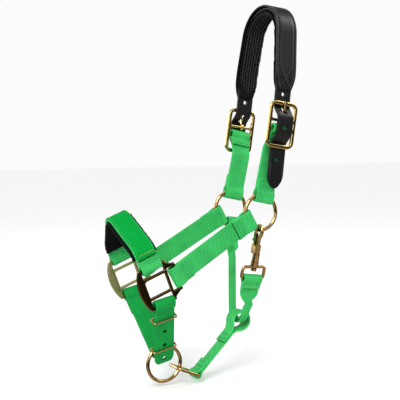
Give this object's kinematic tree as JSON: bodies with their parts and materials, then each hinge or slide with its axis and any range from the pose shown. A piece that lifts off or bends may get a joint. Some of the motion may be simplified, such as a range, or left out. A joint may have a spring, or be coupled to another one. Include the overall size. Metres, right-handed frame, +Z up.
{
  "type": "equine head halter",
  "caption": "Webbing head halter with a padded leather crown, padded noseband, adjustable chin strap, cast squares and buckles, round rings and a throat snap.",
  "frame": {"origin": "midway between the centres of the two cheek rings, on the line through both", "axes": "+X towards the wearer's near (left) side, +Y back towards the poll and away from the nose, +Z up"},
  "size_m": [0.1112, 0.2362, 0.4504],
  "materials": {
    "green_webbing": "ribbed nylon weave",
    "green_overlay": "smooth satin weave",
    "black_leather": "bridle leather, semi-gloss",
    "crown_lining": "soft quilted leather over foam",
    "nose_lining": "quilted padding",
    "cast_brass": "polished, darkened in the recesses",
    "brass_wire": "polished",
    "snap_brass": "polished",
    "pin_steel": "bright"
  },
  "bodies": {
    "halter": {"near_cheek_strap": "green_webbing", "far_cheek_strap": "green_webbing", "near_halter_square": "cast_brass", "far_halter_square": "cast_brass", "noseband_strap": "green_webbing", "noseband_padding": "nose_lining", "noseband_overlay": "green_overlay", "chin_strap": "green_webbing", "jaw_strap": "green_webbing", "throat_strap": "green_webbing", "snap_eye": "snap_brass"},
    "crown": {"near_crown_billet": "green_webbing", "far_crown_billet": "green_webbing", "near_buckle_frame": "cast_brass", "far_buckle_frame": "cast_brass", "crown_strap": "black_leather", "crown_padding": "crown_lining", "crown_cover": "black_leather"},
    "near_tongue": {"near_buckle_tongue": "brass_wire"},
    "far_tongue": {"far_buckle_tongue": "brass_wire"},
    "near_ring": {"near_cheek_ring": "brass_wire"},
    "far_ring": {"far_cheek_ring": "brass_wire"},
    "lead_ring": {"chin_ring": "brass_wire"},
    "upper_keeper_wire": {"upper_keeper": "brass_wire"},
    "lower_keeper_wire": {"lower_keeper": "brass_wire"},
    "link": {"jaw_link": "brass_wire"},
    "snap": {"snap_body": "snap_brass", "snap_gate_pin": "pin_steel", "snap_spring": "pin_steel"},
    "gate": {"snap_gate": "snap_brass"}
  },
  "joints": [
    {"name": "crown_swing", "type": "hinge", "parent": "halter", "child": "crown", "pos_m": [0, 0, 0], "axis": [-1, 0, 0], "range_deg": [-25, 30], "stiffness_Nm_per_rad": 2},
    {"name": "near_tongue_pivot", "type": "hinge", "parent": "crown", "child": "near_tongue", "pos_m": [0.04688, 0.02261, 0.10929], "axis": [0, 0.989, -0.1478], "range_deg": [0, 10]},
    {"name": "far_tongue_pivot", "type": "hinge", "parent": "crown", "child": "far_tongue", "pos_m": [-0.04688, 0.02105, 0.10195], "axis": [0, -0.989, 0.1478], "range_deg": [0, 10]},
    {"name": "near_ring_turn", "type": "hinge", "parent": "halter", "child": "near_ring", "pos_m": [0.036, 0, 0], "axis": [1, 0, 0], "continuous": true},
    {"name": "far_ring_turn", "type": "hinge", "parent": "halter", "child": "far_ring", "pos_m": [-0.036, 0, 0], "axis": [1, 0, 0], "continuous": true},
    {"name": "lead_ring_turn", "type": "hinge", "parent": "halter", "child": "lead_ring", "pos_m": [0.00645, -0.11425, -0.17646], "axis": [1, 0, 0], "continuous": true},
    {"name": "upper_keeper_slide", "type": "slide", "parent": "halter", "child": "upper_keeper_wire", "axis": [0.4305, -0.1954, 0.8812], "range_m": [-0.022, 0.006], "stiffness_N_per_m": 80},
    {"name": "lower_keeper_slide", "type": "slide", "parent": "halter", "child": "lower_keeper_wire", "axis": [0.4305, -0.1954, 0.8812], "range_m": [-0.001, 0.012], "stiffness_N_per_m": 80},
    {"name": "link_swing", "type": "hinge", "parent": "halter", "child": "link", "pos_m": [0.00645, -0.07301, -0.19396], "axis": [1, 0, 0], "range_deg": [-8, 8]},
    {"name": "snap_swivel", "type": "hinge", "parent": "halter", "child": "snap", "pos_m": [0.03211, -0.00373, -0.05334], "axis": [0.2079, 0.0682, 0.9758], "range_deg": [-12, 8]},
    {"name": "gate_open", "type": "hinge", "parent": "snap", "child": "gate", "pos_m": [0.02927, -0.00312, -0.04458], "axis": [0, 0.9976, -0.0698], "range_deg": [0, 14], "stiffness_Nm_per_rad": 0.02, "springref_deg": -11.46}
  ]
}
